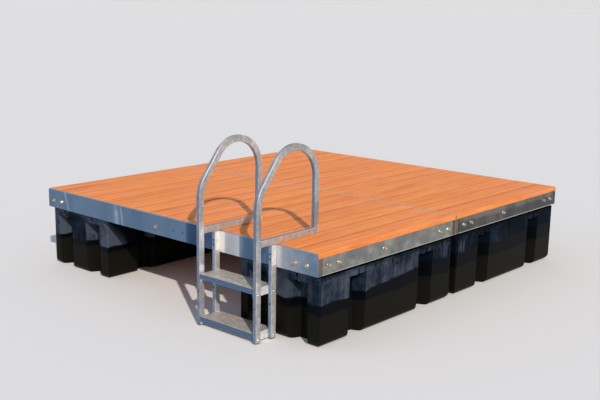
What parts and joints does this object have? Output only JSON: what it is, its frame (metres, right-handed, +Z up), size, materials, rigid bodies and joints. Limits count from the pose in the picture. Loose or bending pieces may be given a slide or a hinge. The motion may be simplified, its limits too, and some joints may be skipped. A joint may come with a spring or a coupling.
{
  "type": "swim raft",
  "caption": "Square floating swim raft with a boarded deck, plate frame and moulded floats, and a boarding ladder whose hooped rails rise over the deck.",
  "frame": {"origin": "middle of the overall box, on the plane of the float bottoms", "axes": "+Y away from the ladder side across the deck, +Z up, +X to the right as seen from the ladder side"},
  "size_m": [2.438, 2.777, 1.063],
  "materials": {
    "deck_board": "stained softwood, matte",
    "frame_plate": "mill finish, weathered satin",
    "inner_frame": "mill finish, dull",
    "float_shell": "black polyethylene, dusty above the water line",
    "ladder_tube": "satin mill finish",
    "tread_plate": "satin mill finish"
  },
  "bodies": {
    "root": {"front_boards": "deck_board", "rear_boards": "deck_board", "front_plate": "frame_plate", "front_seam_plate": "frame_plate", "rear_seam_plate": "frame_plate", "rear_plate": "frame_plate", "front_left_rail": "frame_plate", "front_right_rail": "frame_plate", "rear_left_rail": "frame_plate", "rear_right_rail": "frame_plate", "front_cross_joist": "inner_frame", "rear_cross_joist": "inner_frame", "front_section_stringer_front": "inner_frame", "front_section_stringer_back": "inner_frame", "rear_section_stringer_front": "inner_frame", "rear_section_stringer_back": "inner_frame", "front_corner_brackets": "inner_frame", "rear_corner_brackets": "inner_frame", "front_left_float": "float_shell", "front_right_float": "float_shell", "rear_left_float": "float_shell", "rear_right_float": "float_shell", "left_hoop": "ladder_tube", "right_hoop": "ladder_tube", "left_deck_rail": "ladder_tube", "right_deck_rail": "ladder_tube", "left_back_leg": "ladder_tube", "right_back_leg": "ladder_tube", "left_front_foot": "ladder_tube", "right_front_foot": "ladder_tube", "left_back_foot": "ladder_tube", "right_back_foot": "ladder_tube", "upper_tread": "tread_plate", "lower_tread": "tread_plate"}
  },
  "joints": []
}
